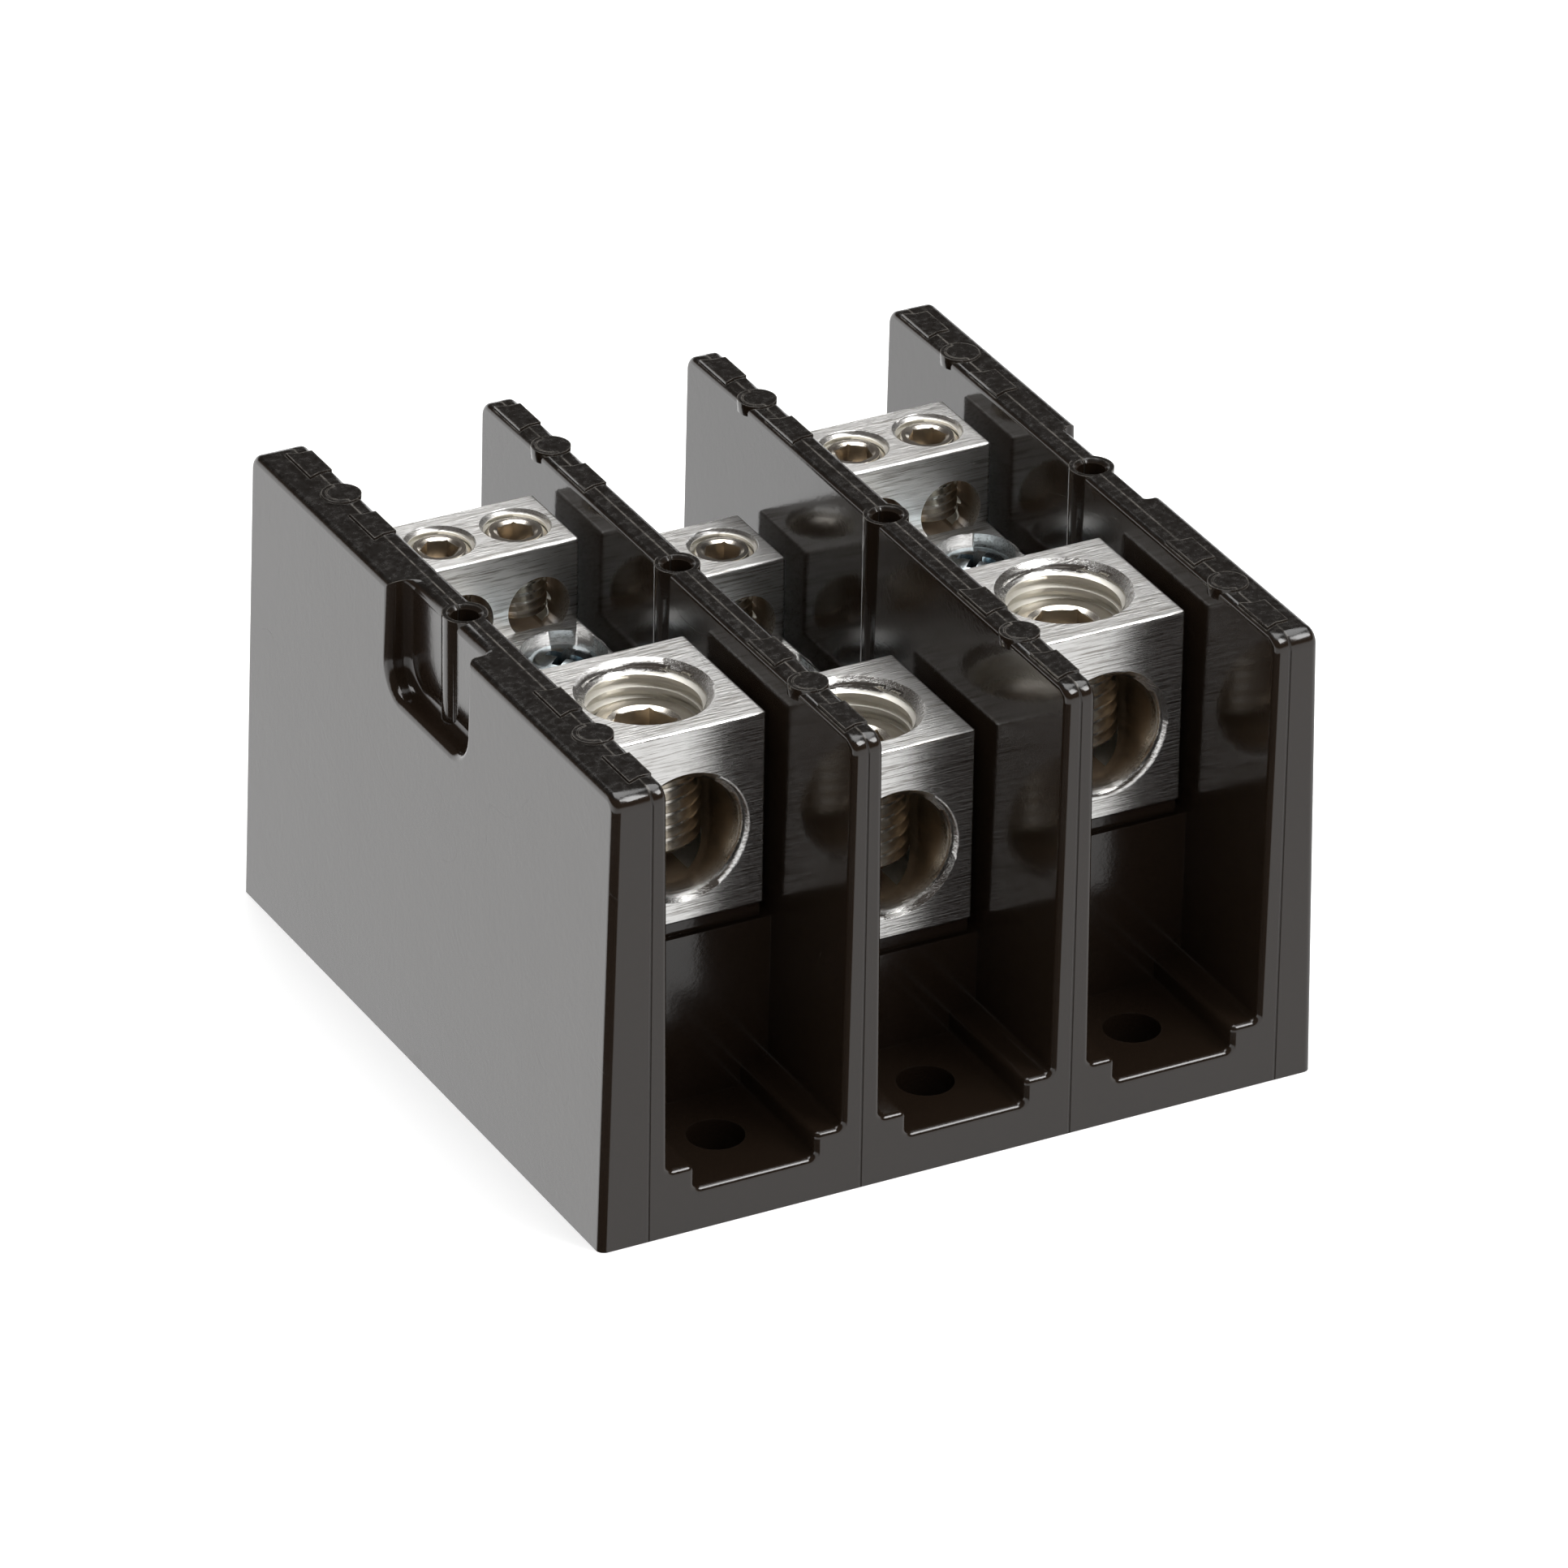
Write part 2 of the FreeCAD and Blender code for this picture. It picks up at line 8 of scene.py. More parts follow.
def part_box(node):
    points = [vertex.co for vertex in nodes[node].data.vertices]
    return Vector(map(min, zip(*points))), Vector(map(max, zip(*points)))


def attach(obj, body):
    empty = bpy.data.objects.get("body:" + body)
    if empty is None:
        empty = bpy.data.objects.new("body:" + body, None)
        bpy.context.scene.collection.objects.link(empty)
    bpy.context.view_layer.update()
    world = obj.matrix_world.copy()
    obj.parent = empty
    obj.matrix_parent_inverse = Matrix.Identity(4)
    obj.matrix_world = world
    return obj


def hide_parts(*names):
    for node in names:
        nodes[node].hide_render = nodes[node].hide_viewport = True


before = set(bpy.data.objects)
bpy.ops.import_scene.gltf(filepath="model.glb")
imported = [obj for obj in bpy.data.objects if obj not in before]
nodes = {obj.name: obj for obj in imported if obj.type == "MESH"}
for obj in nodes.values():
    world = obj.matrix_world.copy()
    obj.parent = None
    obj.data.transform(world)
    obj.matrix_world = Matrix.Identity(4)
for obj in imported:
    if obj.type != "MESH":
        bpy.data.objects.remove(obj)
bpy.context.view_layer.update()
mm = 0.001
fullTurn = 2 * math.pi
print("frame loaded")


# small helpers for node trees

def addNode(tree, kind, inputs=None, **settings):
    node = tree.nodes.new(kind)
    for name, value in settings.items():
        setattr(node, name, value)
    for key, value in (inputs or {}).items():
        if isinstance(value, bpy.types.NodeSocket):
            tree.links.new(value, node.inputs[key])
        else:
            node.inputs[key].default_value = value
    return node


def calc(tree, operation, first, second=0.0, third=0.0, clamp=False):
    values = {0: first, 1: second, 2: third}
    return addNode(tree, "ShaderNodeMath", values, operation=operation, use_clamp=clamp).outputs[0]


def product(tree, first, *others):
    for other in others:
        first = calc(tree, "MULTIPLY", first, other)
    return first


def inverse(tree, value):
    return calc(tree, "SUBTRACT", 1.0, value)


def distance(tree, first, second):
    squares = calc(tree, "ADD", product(tree, first, first), product(tree, second, second))
    return calc(tree, "SQRT", squares)


def band(tree, value, low, high, start=0.0, end=1.0):
    # smooth step of value between low and high
    values = {0: value, 1: low, 2: high, 3: start, 4: end}
    return addNode(tree, "ShaderNodeMapRange", values, interpolation_type="SMOOTHSTEP").outputs[0]


def blendValue(tree, factor, first, second):
    values = {0: factor, 2: first, 3: second}
    return addNode(tree, "ShaderNodeMix", values, data_type="FLOAT").outputs[0]


def mixColour(tree, factor, first, second):
    values = {0: factor}
    for key, item in ((6, first), (7, second)):
        values[key] = item if isinstance(item, bpy.types.NodeSocket) else (*item, 1.0)
    return addNode(tree, "ShaderNodeMix", values, data_type="RGBA").outputs[2]


def scaled(tree, vector, scale):
    values = {0: vector, 1: scale}
    return addNode(tree, "ShaderNodeVectorMath", values, operation="MULTIPLY").outputs[0]


def dot(tree, first, second):
    values = {0: first, 1: second}
    return addNode(tree, "ShaderNodeVectorMath", values, operation="DOT_PRODUCT").outputs["Value"]


def parts(tree, vector):
    return addNode(tree, "ShaderNodeSeparateXYZ", {0: vector}).outputs


def noise(tree, vector, scale, detail=2.0, roughness=0.5):
    values = {"Vector": vector, "Scale": scale, "Detail": detail, "Roughness": roughness}
    return addNode(tree, "ShaderNodeTexNoise", values).outputs["Fac"]


def faceUp(tree):
    # how far the smooth surface faces upwards
    return parts(tree, addNode(tree, "ShaderNodeNewGeometry").outputs["Normal"])[2]


def newGroup(name, inputs, outputs):
    tree = bpy.data.node_groups.new(name, "ShaderNodeTree")
    for label, kind, value in inputs:
        socket = tree.interface.new_socket(label, in_out="INPUT", socket_type=kind)
        socket.default_value = value
    for label, kind in outputs:
        tree.interface.new_socket(label, in_out="OUTPUT", socket_type=kind)
    source = tree.nodes.new("NodeGroupInput")
    sink = tree.nodes.new("NodeGroupOutput")
    return tree, source.outputs, sink.inputs


def useGroup(tree, group, inputs):
    return addNode(tree, "ShaderNodeGroup", inputs, node_tree=group).outputs


def newMaterial(name):
    material = bpy.data.materials.new(name)
    material.use_nodes = True
    tree = material.node_tree
    shader = tree.nodes["Principled BSDF"]
    place = addNode(tree, "ShaderNodeTexCoord").outputs["Object"]
    return material, tree, shader, place


def addBump(tree, shader, strength, depth, height):
    bump = addNode(tree, "ShaderNodeBump", {"Strength": strength, "Distance": depth, "Height": height})
    tree.links.new(bump.outputs[0], shader.inputs["Normal"])


# effects that several materials share

def makeGrain():
    # streaks left by a saw or belt: Stretch squeezes the pattern along the streaks
    inputs = [("Vector", "NodeSocketVector", (0, 0, 0)), ("Stretch", "NodeSocketVector", (40, 2000, 2000)),
              ("Contrast", "NodeSocketFloat", 1.0)]
    outputs = [("Fine", "NodeSocketFloat"), ("Broad", "NodeSocketFloat")]
    tree, given, result = newGroup("grain", inputs, outputs)
    stretched = scaled(tree, given["Vector"], given["Stretch"])
    fine = noise(tree, stretched, 3.0, 3.0, 0.7)
    broad = noise(tree, scaled(tree, stretched, (0.25, 0.25, 0.25)), 1.0, 2.0, 0.6)
    for value, target in ((fine, "Fine"), (broad, "Broad")):
        spread = product(tree, calc(tree, "SUBTRACT", value, 0.5), given["Contrast"])
        tree.links.new(calc(tree, "ADD", spread, 0.5, clamp=True), result[target])
    return tree


def makeEdgeWearAndHighlight():
    # mask of the outer edges, where the rounded normal leans away from the true one; the materials paint
    # wear and a painted highlight there
    inputs = [("Vector", "NodeSocketVector", (0, 0, 0)), ("Width", "NodeSocketFloat", 0.3 * mm),
              ("Breakup", "NodeSocketFloat", 0.5)]
    tree, given, result = newGroup("edge wear and highlight", inputs, [("Mask", "NodeSocketFloat")])
    rounded = addNode(tree, "ShaderNodeBevel", {"Radius": given["Width"]}, samples=6).outputs["Normal"]
    normal = addNode(tree, "ShaderNodeNewGeometry").outputs["True Normal"]
    mask = band(tree, inverse(tree, dot(tree, rounded, normal)), 0.01, 0.16)
    patches = band(tree, noise(tree, given["Vector"], 900.0, 3.0, 0.6), 0.35, 0.62)
    gap = product(tree, inverse(tree, patches), given["Breakup"])
    tree.links.new(product(tree, mask, inverse(tree, gap)), result["Mask"])
    return tree


def makeHairlines():
    # sparse hairlines: thin contours of a smooth noise, kept only in some patches
    inputs = [("Vector", "NodeSocketVector", (0, 0, 0)), ("Scale", "NodeSocketFloat", 60.0),
              ("Thickness", "NodeSocketFloat", 0.004), ("Amount", "NodeSocketFloat", 0.4)]
    tree, given, result = newGroup("hairlines", inputs, [("Mask", "NodeSocketFloat")])
    field = noise(tree, given["Vector"], given["Scale"], 1.0)
    away = calc(tree, "ABSOLUTE", calc(tree, "SUBTRACT", field, 0.5))
    line = inverse(tree, band(tree, away, 0.0, given["Thickness"]))
    where = noise(tree, given["Vector"], 130.0, 2.0)
    threshold = calc(tree, "SUBTRACT", 0.72, product(tree, given["Amount"], 0.3))
    kept = band(tree, where, threshold, calc(tree, "ADD", threshold, 0.05))
    tree.links.new(product(tree, line, kept), result["Mask"])
    return tree


grain = makeGrain()
edgeWearAndHighlight = makeEdgeWearAndHighlight()
hairlines = makeHairlines()


# black moulding: glossy where the mould was polished, mottled on the wall tops, with pale edges that are
# part wear and part painted highlight, strongest along the wall tops

mouldingLook = {
    "colour": (0.0125, 0.0080, 0.0052), "topColour": (0.0050, 0.0042, 0.0036),
    "speckColour": (0.016, 0.0145, 0.013), "wornAndHighlitColour": (0.22, 0.205, 0.185),
    "roughness": 0.12, "topRoughness": 0.24, "ior": 1.6,
    "smudgeRoughness": 0.06, "mottleRoughness": 0.4, "scratchRoughness": 0.12, "seamRoughness": 0.4,
    "topLevel": 45.2 * mm, "edgeWidth": 0.28 * mm, "edgeBreakup": 0.7, "topWearAndHighlight": 0.5, "sideWearAndHighlight": 0.03,
    "scratches": {"Scale": 55.0, "Thickness": 0.003, "Amount": 0.5},
    "seams": (10.6 * mm, 31.8 * mm), "seamWidth": 0.15 * mm,
    "reliefDepth": 0.6 * mm, "waviness": 0.05, "peel": 0.010, "grit": 0.012,
    "topMottle": 0.025, "scratchDepth": -0.005, "seamDepth": -0.15,
}


def makeMoulding():
    look = mouldingLook
    material, tree, shader, place = newMaterial("blackMoulding")
    position = parts(tree, place)
    high = band(tree, position[2], look["topLevel"] - 0.3 * mm, look["topLevel"] + 0.1 * mm)
    top = product(tree, high, band(tree, faceUp(tree), 0.55, 0.85))

    mottle = noise(tree, place, 1400.0, 4.0, 0.65)
    smudge = noise(tree, place, 90.0, 3.0, 0.6)
    wornAndHighlitEdges = {"Vector": place, "Width": look["edgeWidth"], "Breakup": look["edgeBreakup"]}
    wornAndHighlit = useGroup(tree, edgeWearAndHighlight, wornAndHighlitEdges)["Mask"]
    scratch = useGroup(tree, hairlines, {"Vector": place, **look["scratches"]})["Mask"]

    # the joint lines between the poles and end plates, below the wall tops
    seamLines = 0.0
    across = calc(tree, "ABSOLUTE", position[0])
    for seam in look["seams"]:
        away = calc(tree, "ABSOLUTE", calc(tree, "SUBTRACT", across, seam))
        line = inverse(tree, band(tree, away, 0.0, look["seamWidth"]))
        seamLines = calc(tree, "ADD", line, seamLines)
    seamLines = product(tree, seamLines, inverse(tree, top))

    topTint = mixColour(tree, band(tree, mottle, 0.45, 0.8), look["topColour"], look["speckColour"])
    base = mixColour(tree, top, look["colour"], topTint)
    # pale edge colour: part wear, part painted highlight along the edges, mostly on the wall tops
    wearAndHighlight = product(tree, wornAndHighlit, calc(tree, "ADD", product(tree, top, look["topWearAndHighlight"]), look["sideWearAndHighlight"]))
    tree.links.new(mixColour(tree, wearAndHighlight, base, look["wornAndHighlitColour"]), shader.inputs["Base Color"])

    smudged = product(tree, band(tree, smudge, 0.4, 0.75), look["smudgeRoughness"])
    plain = calc(tree, "ADD", look["roughness"], smudged)
    mottled = product(tree, calc(tree, "SUBTRACT", mottle, 0.5), look["mottleRoughness"])
    rough = blendValue(tree, top, plain, calc(tree, "ADD", look["topRoughness"], mottled))
    scuffs = product(tree, scratch, look["scratchRoughness"])
    marks = calc(tree, "ADD", scuffs, product(tree, seamLines, look["seamRoughness"]))
    tree.links.new(calc(tree, "ADD", rough, marks, clamp=True), shader.inputs["Roughness"])

    relief = 0.0
    heights = [
        (noise(tree, place, 70.0, 1.0), look["waviness"]),
        (noise(tree, place, 700.0, 2.0), look["peel"]),
        (noise(tree, place, 2000.0, 2.0, 0.6), look["grit"]),
        (product(tree, mottle, top), look["topMottle"]),
        (scratch, look["scratchDepth"]),
        (seamLines, look["seamDepth"]),
    ]
    for height, share in heights:
        relief = calc(tree, "ADD", product(tree, height, share), relief)
    addBump(tree, shader, 1.0, look["reliefDepth"], relief)
    shader.inputs["IOR"].default_value = look["ior"]
    return material


# connector metal: sawn and belted bar, streaked across the connector

metalLook = {
    "colour": (0.80, 0.795, 0.78), "darkColour": (0.34, 0.32, 0.295), "edgeWearAndHighlightColour": (0.9, 0.9, 0.89),
    "boreShadeColour": (0.46, 0.34, 0.22), "threadColour": (0.89, 0.865, 0.79),
    "boreShadeTint": 0.85, "threadTint": 0.8, "edgeWearAndHighlightTint": 0.5, "stain": 0.2,
    "roughness": 0.13, "streakRoughness": 0.12, "topRoughness": 0.15, "milledRoughness": 0.17,
    "boreRoughness": 0.15, "threadRoughness": 0.2,
    "streaks": (70.0, 1700.0, 1700.0), "contrast": 2.6, "sawDepth": 0.028 * mm, "frontSaw": 0.4,
    "edgeWidth": 0.25 * mm, "edgeBreakup": 0.3,
    "pitch": 21.2 * mm, "middleDrop": 7.0 * mm,
    "boreMouth": 2.5 * mm, "boreEnd": 0.3 * mm,
    "lineBore": {"side": 0.0, "level": 31.2 * mm, "radius": 5.8 * mm,
                 "front": -22.5 * mm, "back": -6.6 * mm},
    "loadBore": {"side": 3.85 * mm, "level": 35.8 * mm, "radius": 3.25 * mm,
                 "front": 14.0 * mm, "back": 23.5 * mm},
    "lineTap": {"side": 0.0, "axis": -14.3 * mm, "radius": 5.9 * mm, "top": 41.0 * mm},
    "loadTap": {"side": 3.85 * mm, "axis": 18.75 * mm, "radius": 3.36 * mm, "top": 41.68 * mm},
}


def nearAxis(tree, hole, across, other, centre):
    # a point's distance from a hole's axis, compared with the hole's radius
    aside = calc(tree, "SUBTRACT", across, hole["side"])
    away = distance(tree, aside, calc(tree, "SUBTRACT", other, centre))
    return calc(tree, "LESS_THAN", away, hole["radius"])


def makeConnectorMetal():
    look = metalLook
    material, tree, shader, place = newMaterial("connectorAluminium")
    x, y, z = parts(tree, place)
    half = look["pitch"] / 2
    wrapped = addNode(tree, "ShaderNodeMath", {0: x, 1: half, 2: -half}, operation="WRAP").outputs[0]
    across = calc(tree, "ABSOLUTE", wrapped)
    middle = calc(tree, "LESS_THAN", calc(tree, "ABSOLUTE", x), half)
    raised = calc(tree, "ADD", z, product(tree, middle, look["middleDrop"]))

    # wire bores get painted shade, dark brown inside, and tapped holes are cleaner and a little yellow
    hollow = 0.0
    for bore in (look["lineBore"], look["loadBore"]):
        within = nearAxis(tree, bore, across, raised, bore["level"])
        behind = band(tree, y, bore["front"], bore["front"] + look["boreMouth"])
        before = calc(tree, "LESS_THAN", y, bore["back"] - look["boreEnd"])
        hollow = calc(tree, "ADD", product(tree, within, behind, before), hollow, clamp=True)
    tapped = 0.0
    for tap in (look["lineTap"], look["loadTap"]):
        within = nearAxis(tree, tap, across, y, tap["axis"])
        below = calc(tree, "LESS_THAN", raised, tap["top"])
        tapped = calc(tree, "ADD", product(tree, within, below), tapped, clamp=True)
    sawn = inverse(tree, product(tree, calc(tree, "MAXIMUM", hollow, tapped), 0.9))

    streakValues = {"Vector": place, "Stretch": look["streaks"], "Contrast": look["contrast"]}
    streak = useGroup(tree, grain, streakValues)
    stain = band(tree, noise(tree, place, 160.0, 3.0, 0.6), 0.42, 0.7)
    wornAndHighlitEdges = {"Vector": place, "Width": look["edgeWidth"], "Breakup": look["edgeBreakup"]}
    wornAndHighlit = useGroup(tree, edgeWearAndHighlight, wornAndHighlitEdges)["Mask"]
    dull = product(tree, band(tree, streak["Fine"], 0.4, 0.95), calc(tree, "ADD", streak["Broad"], 0.35))
    stained = calc(tree, "ADD", dull, product(tree, stain, look["stain"]), clamp=True)
    colour = mixColour(tree, product(tree, stained, sawn), look["colour"], look["darkColour"])
    # pale edges: part wear, part painted highlight
    colour = mixColour(tree, product(tree, wornAndHighlit, look["edgeWearAndHighlightTint"]), colour, look["edgeWearAndHighlightColour"])
    colour = mixColour(tree, product(tree, tapped, look["threadTint"]), colour, look["threadColour"])
    # painted shade inside the wire bores
    colour = mixColour(tree, product(tree, hollow, look["boreShadeTint"]), colour, look["boreShadeColour"])
    tree.links.new(colour, shader.inputs["Base Color"])

    # satin on the tops and behind the line block, glossier on its front, blunt in the holes
    upward = band(tree, faceUp(tree), 0.5, 0.9)
    plain = calc(tree, "ADD", look["roughness"], product(tree, streak["Fine"], look["streakRoughness"]))
    blockBack = look["lineBore"]["back"]
    milled = product(tree, band(tree, y, blockBack - 1 * mm, blockBack), look["milledRoughness"])
    satin = calc(tree, "MAXIMUM", product(tree, upward, look["topRoughness"]), milled)
    inBores = product(tree, hollow, look["boreRoughness"])
    blunt = calc(tree, "ADD", inBores, product(tree, tapped, look["threadRoughness"]))
    rough = calc(tree, "ADD", calc(tree, "ADD", plain, satin), blunt, clamp=True)
    tree.links.new(rough, shader.inputs["Roughness"])

    # the saw marks are deeper on the tops than on the fronts
    onTops = product(tree, upward, 1 - look["frontSaw"])
    strength = product(tree, sawn, calc(tree, "ADD", onTops, look["frontSaw"]))
    addBump(tree, shader, strength, look["sawDepth"], streak["Fine"])
    shader.inputs["Metallic"].default_value = 1.0
    return material


# plated screws: rings about the screw's own axis, painted shade down in the socket and on the shank

turnedLook = {
    "edgeWidth": 0.12 * mm, "edgeBreakup": 0.2, "edgeWearAndHighlightTint": 0.6, "shankShade": 0.7,
    "shankFrom": -1.5 * mm, "shankTo": -4 * mm, "rings": 4500.0, "ringRoughness": 0.14,
    "ringStrength": 0.35, "ringDepth": 0.02 * mm,
}
nickelLook = {
    "colour": (0.80, 0.76, 0.69), "darkColour": (0.52, 0.46, 0.38), "edgeWearAndHighlightColour": (0.92, 0.90, 0.86),
    "socketShadeColour": (0.58, 0.52, 0.44), "socketReach": 0.3, "roughness": 0.16, "patchy": 0.5,
}
zincLook = {
    "colour": (0.70, 0.78, 0.82), "darkColour": (0.50, 0.60, 0.66), "edgeWearAndHighlightColour": (0.88, 0.94, 0.97),
    "socketShadeColour": (0.16, 0.20, 0.22), "socketReach": 0.8, "roughness": 0.12, "patchy": 0.25,
}


def makeTurned(name, look):
    turned = turnedLook
    material, tree, shader, place = newMaterial(name)
    own = addNode(tree, "ShaderNodeAttribute", attribute_name="ownPlace").outputs["Vector"]
    socket = addNode(tree, "ShaderNodeAttribute", attribute_name="socketDepth").outputs["Fac"]
    x, y, z = parts(tree, own)
    sooty = band(tree, noise(tree, place, 420.0, 3.0, 0.6), 0.35, 0.75)
    colour = mixColour(tree, product(tree, sooty, look["patchy"]), look["colour"], look["darkColour"])
    wornAndHighlitEdges = {"Vector": place, "Width": turned["edgeWidth"], "Breakup": turned["edgeBreakup"]}
    wornAndHighlit = useGroup(tree, edgeWearAndHighlight, wornAndHighlitEdges)["Mask"]
    # pale edges: part wear, part painted highlight
    colour = mixColour(tree, product(tree, wornAndHighlit, turned["edgeWearAndHighlightTint"]), colour, look["edgeWearAndHighlightColour"])
    # painted shade in the socket and on the shank down in the hole
    inside = band(tree, socket, 0.0, look["socketReach"])
    below = band(tree, z, turned["shankTo"], turned["shankFrom"], 1.0, 0.0)
    paintedShade = calc(tree, "MAXIMUM", inside, product(tree, below, turned["shankShade"]))
    tree.links.new(mixColour(tree, paintedShade, colour, look["socketShadeColour"]), shader.inputs["Base Color"])
    ringPlace = addNode(tree, "ShaderNodeCombineXYZ", {0: distance(tree, x, y), 1: z}).outputs[0]
    rings = noise(tree, ringPlace, turned["rings"], 3.0, 0.7)
    rough = calc(tree, "ADD", look["roughness"], product(tree, rings, turned["ringRoughness"]))
    tree.links.new(rough, shader.inputs["Roughness"])
    addBump(tree, shader, turned["ringStrength"], turned["ringDepth"], rings)
    shader.inputs["Metallic"].default_value = 1.0
    return material


moulding = makeMoulding()
connectorMetal = makeConnectorMetal()
nickel = makeTurned("setScrewNickel", nickelLook)
zinc = makeTurned("zincPlate", zincLook)
print("materials made")


# mesh helpers

weld = 0.002 * mm
smoothBelow = 28.0


def newPiece(name, bm, material, smoothAngle=smoothBelow):
    mesh = bpy.data.meshes.new(name)
    bm.to_mesh(mesh)
    bm.free()
    mesh.materials.append(material)
    piece = bpy.data.objects.new(name, mesh)
    bpy.context.scene.collection.objects.link(piece)
    smoothByAngle(mesh, smoothAngle)
    return piece


def smoothByAngle(mesh, degrees):
    mesh.shade_smooth()
    mesh.set_sharp_from_angle(angle=math.radians(degrees))


def copyOfNode(name):
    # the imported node's triangles, joined up and with flat areas made whole again
    bm = bmesh.new()
    bm.from_mesh(nodes[name].data)
    bmesh.ops.remove_doubles(bm, verts=bm.verts, dist=weld)
    bmesh.ops.dissolve_limit(bm, angle_limit=math.radians(0.3), verts=bm.verts, edges=bm.edges,
                             delimit={"NORMAL"})
    return bm


def sharpEdges(bm, wanted, degrees):
    limit = math.radians(degrees)
    found = []
    for edge in bm.edges:
        if len(edge.link_faces) == 2 and edge.calc_face_angle(0.0) > limit and wanted(edge):
            found.append(edge)
    return found


def roundOff(bm, edges, width, segments):
    bmesh.ops.bevel(bm, geom=edges, offset=width, offset_type="OFFSET", segments=segments, profile=0.5,
                    affect="EDGES", material=-1, clamp_overlap=True)


def combine(piece, tool, operation="DIFFERENCE", toolCrossesItself=False):
    change = piece.modifiers.new(operation, "BOOLEAN")
    change.operation = operation
    change.object = tool
    change.solver = "EXACT"
    change.use_self = toolCrossesItself
    graph = bpy.context.evaluated_depsgraph_get()
    mesh = bpy.data.meshes.new_from_object(piece.evaluated_get(graph))
    piece.modifiers.clear()
    before = piece.data
    piece.data = mesh
    mesh.name = before.name
    bpy.data.meshes.remove(before)
    bpy.data.objects.remove(tool)


def placed(name, source, matrix, material):
    mesh = source.data.copy()
    mesh.transform(matrix)
    mesh.name = name
    mesh.materials.clear()
    mesh.materials.append(material)
    piece = bpy.data.objects.new(name, mesh)
    bpy.context.scene.collection.objects.link(piece)
    smoothByAngle(mesh, smoothBelow)
    return piece


# threads: one pitch of the profile is spun into a helix, cut square at both ends and capped

def threadRod(pitch, crest, depth, low, high, steps=48):
    bm = bmesh.new()
    near = pitch * 0.01
    root = crest - depth
    flank = depth * math.tan(math.radians(30))
    flat = (pitch - 2 * flank) / 2
    profile = [(root, 0), (root, flat), (crest, flat + flank), (crest, 2 * flat + flank), (root, pitch)]
    start = low - 2 * pitch
    chain = [bm.verts.new((across, 0, start + rise)) for across, rise in profile]
    edges = [bm.edges.new(pair) for pair in zip(chain, chain[1:])]
    turns = math.ceil((high - low) / pitch) + 3
    bmesh.ops.spin(bm, geom=chain + edges, cent=(0, 0, 0), axis=(0, 0, 1), dvec=(0, 0, pitch / steps),
                   angle=fullTurn * turns, steps=steps * turns)
    bmesh.ops.remove_doubles(bm, verts=bm.verts, dist=near)
    for level, up in ((low, -1), (high, 1)):
        geometry = bm.verts[:] + bm.edges[:] + bm.faces[:]
        bmesh.ops.bisect_plane(bm, geom=geometry, dist=near / 10, plane_co=(0, 0, level),
                               plane_no=(0, 0, up), clear_outer=True)
        rim = []
        for edge in bm.edges:
            if edge.is_boundary and all(abs(vert.co.z - level) < near for vert in edge.verts):
                rim.append(edge)
        bmesh.ops.contextual_create(bm, geom=rim)
    bmesh.ops.recalc_face_normals(bm, faces=bm.faces)
    return bm


def turnedSolid(profile, steps=64):
    # profile runs from the axis out and back to the axis
    bm = bmesh.new()
    chain = [bm.verts.new((across, 0, rise)) for across, rise in profile]
    edges = [bm.edges.new(pair) for pair in zip(chain, chain[1:])]
    bmesh.ops.spin(bm, geom=chain + edges, cent=(0, 0, 0), axis=(0, 0, 1), angle=fullTurn, steps=steps,
                   use_merge=True)
    bmesh.ops.remove_doubles(bm, verts=bm.verts, dist=weld)
    bmesh.ops.recalc_face_normals(bm, faces=bm.faces)
    return bm


def hexagonTool(across, deep, drillDepth):
    # hexagonal socket with a drilled cone under it; its top stands proud of the screw
    proud = 1 * mm
    radius = across / math.sqrt(3)
    bm = bmesh.new()
    bmesh.ops.create_cone(bm, cap_ends=True, segments=6, radius1=radius, radius2=radius,
                          depth=deep + proud, matrix=Matrix.Translation((0, 0, (proud - deep) / 2)))
    low = [face for face in bm.faces if face.normal.z < -0.9]
    bmesh.ops.inset_region(bm, faces=low, thickness=across * 0.04)
    bmesh.ops.poke(bm, faces=low)
    bm.verts.ensure_lookup_table()
    tip = min(bm.verts, key=lambda v: v.co.xy.length + (0 if v.co.z < 0 else 1))
    tip.co.z -= drillDepth
    bmesh.ops.recalc_face_normals(bm, faces=bm.faces)
    return bm


def noteOwnPlace(piece, reach, low, high):
    # what the screw's material reads: a point's place on the screw, and whether it is in the socket, where
    # painted shade goes
    own = piece.data.attributes.new("ownPlace", "FLOAT_VECTOR", "POINT")
    deep = piece.data.attributes.new("socketDepth", "FLOAT", "POINT")
    for vert in piece.data.vertices:
        own.data[vert.index].vector = vert.co
        inside = vert.co.xy.length < reach and low < vert.co.z < high
        deep.data[vert.index].value = 1.0 if inside else 0.0


# where the pieces are, in the row frame

layout = {
    "pitch": 21.2 * mm, "lineAxis": -14.3 * mm, "loadAxis": 18.75 * mm, "loadSide": 3.85 * mm,
    "seat": 22.7 * mm, "middleSeat": 15.7 * mm, "lugHeight": 19.35 * mm,
    "lineSink": 3.3 * mm, "loadSink": 0.5 * mm,
    "fixing": ((3.85 * mm, 8.95 * mm, "back"), (-3.85 * mm, -1.55 * mm, "front")), "underHead": 8.5 * mm,
}


def poleX(pole):
    return (pole - 2) * layout["pitch"]


def seatLevel(pole):
    return layout["middleSeat"] if pole == 2 else layout["seat"]


def atPlace(across, along, up, turn=0.0):
    return Matrix.Translation((across, along, up)) @ Matrix.Rotation(math.radians(turn), 4, "Z")


def finishPiece(piece, body, node):
    flatten = piece.modifiers.new("flat faces keep their normals", "WEIGHTED_NORMAL")
    flatten.keep_sharp = True
    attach(piece, body)
    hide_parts(node)


# set screws

